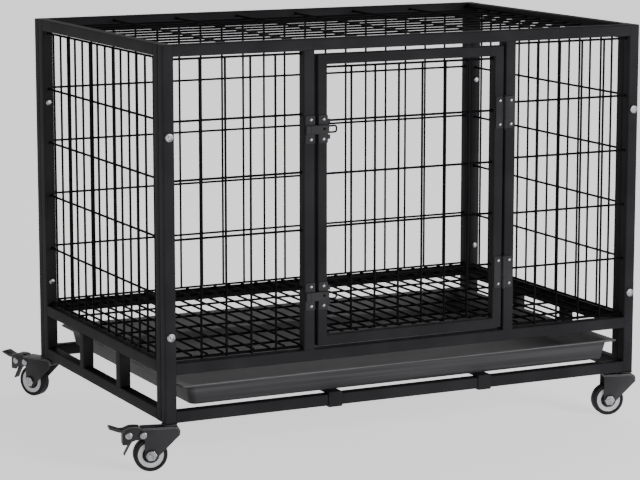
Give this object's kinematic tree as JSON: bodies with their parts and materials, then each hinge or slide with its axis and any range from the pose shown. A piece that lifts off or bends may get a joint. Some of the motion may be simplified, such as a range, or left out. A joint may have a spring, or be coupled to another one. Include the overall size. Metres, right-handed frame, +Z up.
{
  "type": "rolling dog cage",
  "caption": "Rolling dog cage of welded square tube with wire panels, a hinged door with slide latches, a slide-out tray, a wire floor and swivel casters.",
  "frame": {"origin": "centre of the bounding box in plan, on the ground under the wheels", "axes": "+X along the length towards the door's hinge side, +Y from the door face to the back, +Z up"},
  "size_m": [1.2782, 0.8714, 0.889],
  "materials": {
    "black_coat": "satin black powder coat",
    "plate_coat": "dark grey coat",
    "tray_plastic": "dark grey, slightly glossy",
    "zinc": "bright zinc",
    "hub_plastic": "light grey",
    "tyre_rubber": "matt black"
  },
  "bodies": {
    "cage": {"front_frame": "black_coat", "back_frame": "black_coat", "left_side_frame": "black_coat", "right_side_frame": "black_coat", "front_left_mesh": "black_coat", "front_right_mesh": "black_coat", "back_mesh": "black_coat", "left_mesh": "black_coat", "right_mesh": "black_coat", "top_mesh": "black_coat", "floor_grid": "black_coat", "tray_bar_left": "black_coat", "tray_bar_right": "black_coat", "bolt_front_left_lower": "zinc", "bolt_front_left_upper": "zinc", "bolt_front_right_lower": "zinc", "bolt_front_right_upper": "zinc", "bolt_back_left_lower": "zinc", "bolt_back_left_upper": "zinc", "bolt_back_right_lower": "zinc", "bolt_back_right_upper": "zinc", "hinge_post_leaf_lower": "plate_coat", "hinge_post_leaf_upper": "plate_coat", "hinge_pin_lower": "plate_coat", "hinge_pin_upper": "plate_coat", "latch_keeper_lower": "plate_coat", "latch_keeper_upper": "plate_coat", "caster_stem_front_left": "black_coat", "caster_stem_front_right": "black_coat", "caster_stem_back_left": "black_coat", "caster_stem_back_right": "black_coat"},
    "door": {"door_frame": "black_coat", "door_mesh": "black_coat", "hinge_door_leaf_lower": "plate_coat", "hinge_door_leaf_upper": "plate_coat", "latch_housing_lower": "plate_coat", "latch_housing_upper": "plate_coat"},
    "latch_lower": {"latch_rod_lower": "plate_coat"},
    "latch_upper": {"latch_rod_upper": "plate_coat"},
    "tray": {"tray": "tray_plastic"},
    "caster_front_left": {"caster_fork_front_left": "black_coat", "caster_axle_front_left": "zinc"},
    "wheel_front_left": {"caster_tyre_front_left": "tyre_rubber", "caster_hub_front_left": "hub_plastic"},
    "brake_front_left": {"brake_pedal_front_left": "black_coat"},
    "caster_front_right": {"caster_fork_front_right": "black_coat", "caster_axle_front_right": "zinc"},
    "wheel_front_right": {"caster_tyre_front_right": "tyre_rubber", "caster_hub_front_right": "hub_plastic"},
    "caster_back_left": {"caster_fork_back_left": "black_coat", "caster_axle_back_left": "zinc"},
    "wheel_back_left": {"caster_tyre_back_left": "tyre_rubber", "caster_hub_back_left": "hub_plastic"},
    "brake_back_left": {"brake_pedal_back_left": "black_coat"},
    "caster_back_right": {"caster_fork_back_right": "black_coat", "caster_axle_back_right": "zinc"},
    "wheel_back_right": {"caster_tyre_back_right": "tyre_rubber", "caster_hub_back_right": "hub_plastic"}
  },
  "joints": [
    {"name": "door_hinge", "type": "hinge", "parent": "cage", "child": "door", "pos_m": [0.28203, -0.43122, 0.2335], "axis": [0, 0, 1], "range_deg": [0, 170]},
    {"name": "latch_slide_lower", "type": "slide", "parent": "door", "child": "latch_lower", "axis": [1, 0, 0], "range_m": [-0.0135, 0]},
    {"name": "latch_slide_upper", "type": "slide", "parent": "door", "child": "latch_upper", "axis": [1, 0, 0], "range_m": [-0.0135, 0]},
    {"name": "tray_slide", "type": "slide", "parent": "cage", "child": "tray", "axis": [0, -1, 0], "range_m": [0, 0.68]},
    {"name": "swivel_front_left", "type": "hinge", "parent": "cage", "child": "caster_front_left", "pos_m": [-0.51022, -0.41462, 0.1], "axis": [0, 0, 1], "continuous": true},
    {"name": "roll_front_left", "type": "hinge", "parent": "caster_front_left", "child": "wheel_front_left", "pos_m": [-0.55001, -0.4047, 0.036], "axis": [0.2419, 0.9703, 0], "continuous": true},
    {"name": "brake_front_left", "type": "hinge", "parent": "caster_front_left", "child": "brake_front_left", "pos_m": [-0.56553, -0.40083, 0.0795], "axis": [-0.2419, -0.9703, 0], "range_deg": [0, 15]},
    {"name": "swivel_front_right", "type": "hinge", "parent": "cage", "child": "caster_front_right", "pos_m": [0.61478, -0.41462, 0.1], "axis": [0, 0, 1], "continuous": true},
    {"name": "roll_front_right", "type": "hinge", "parent": "caster_front_right", "child": "wheel_front_right", "pos_m": [0.57499, -0.4047, 0.036], "axis": [0.2419, 0.9703, 0], "continuous": true},
    {"name": "swivel_back_left", "type": "hinge", "parent": "cage", "child": "caster_back_left", "pos_m": [-0.51022, 0.31738, 0.1], "axis": [0, 0, 1], "continuous": true},
    {"name": "roll_back_left", "type": "hinge", "parent": "caster_back_left", "child": "wheel_back_left", "pos_m": [-0.53072, 0.35289, 0.036], "axis": [0.866, 0.5, 0], "continuous": true},
    {"name": "brake_back_left", "type": "hinge", "parent": "caster_back_left", "child": "brake_back_left", "pos_m": [-0.53872, 0.36674, 0.0795], "axis": [-0.866, -0.5, 0], "range_deg": [0, 15]},
    {"name": "swivel_back_right", "type": "hinge", "parent": "cage", "child": "caster_back_right", "pos_m": [0.61478, 0.31738, 0.1], "axis": [0, 0, 1], "continuous": true},
    {"name": "roll_back_right", "type": "hinge", "parent": "caster_back_right", "child": "wheel_back_right", "pos_m": [0.57499, 0.3273, 0.036], "axis": [0.2419, 0.9703, 0], "continuous": true}
  ]
}
